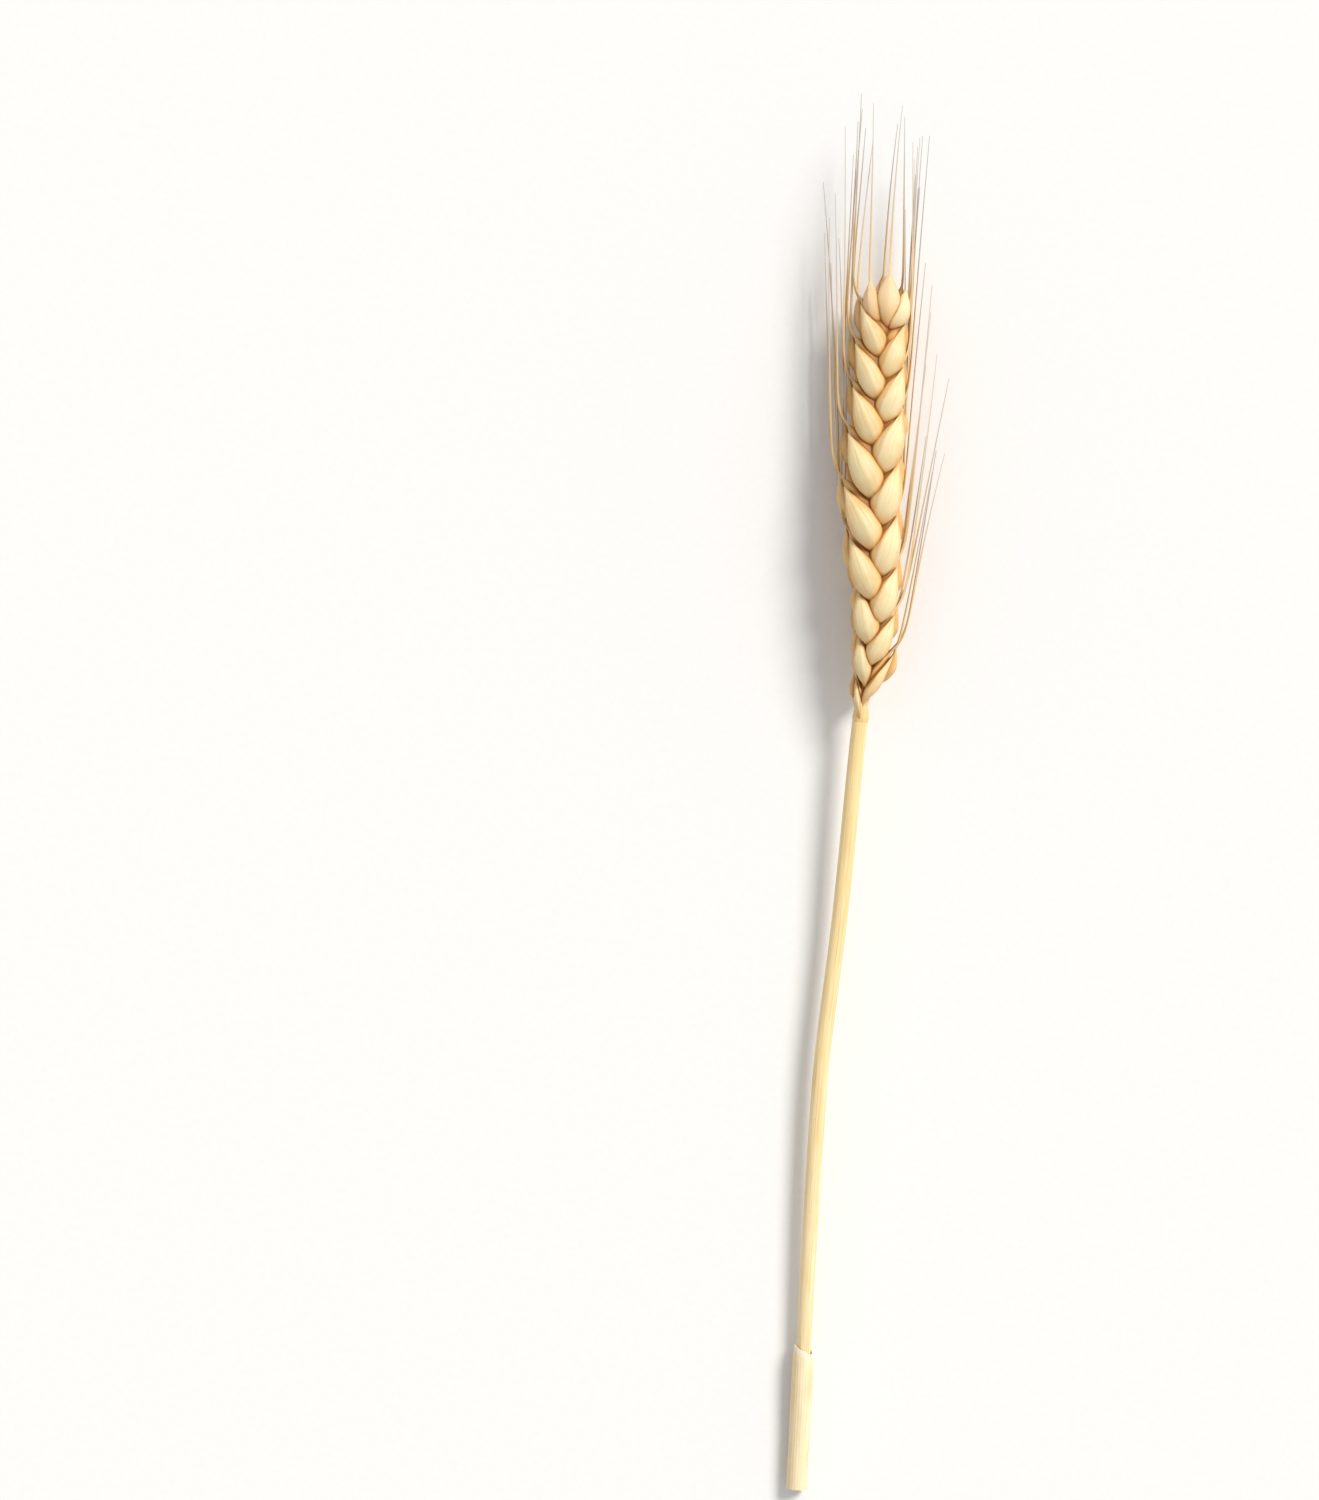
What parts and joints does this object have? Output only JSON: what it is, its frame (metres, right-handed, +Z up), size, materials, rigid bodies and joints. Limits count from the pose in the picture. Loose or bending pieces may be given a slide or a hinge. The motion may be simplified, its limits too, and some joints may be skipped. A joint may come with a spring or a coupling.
{
  "type": "wheat ear",
  "caption": "Dried, awned wheat ear on a cut length of straw, lying on its side, with the end of its leaf sheath round the straw.",
  "frame": {"origin": "on the surface under the middle of the stalk's bounding box", "axes": "+Y along the stalk, from the cut end to the awns, +Z up from the surface that it lies on"},
  "size_m": [0.0276, 0.2694, 0.0159],
  "materials": {
    "ear": "dry, satin chaff",
    "culm": "dry, satin straw",
    "leaf_sheath": "dry, papery leaf"
  },
  "bodies": {
    "root": {"ear": "ear", "culm": "culm", "leaf_sheath": "leaf_sheath"}
  },
  "joints": []
}
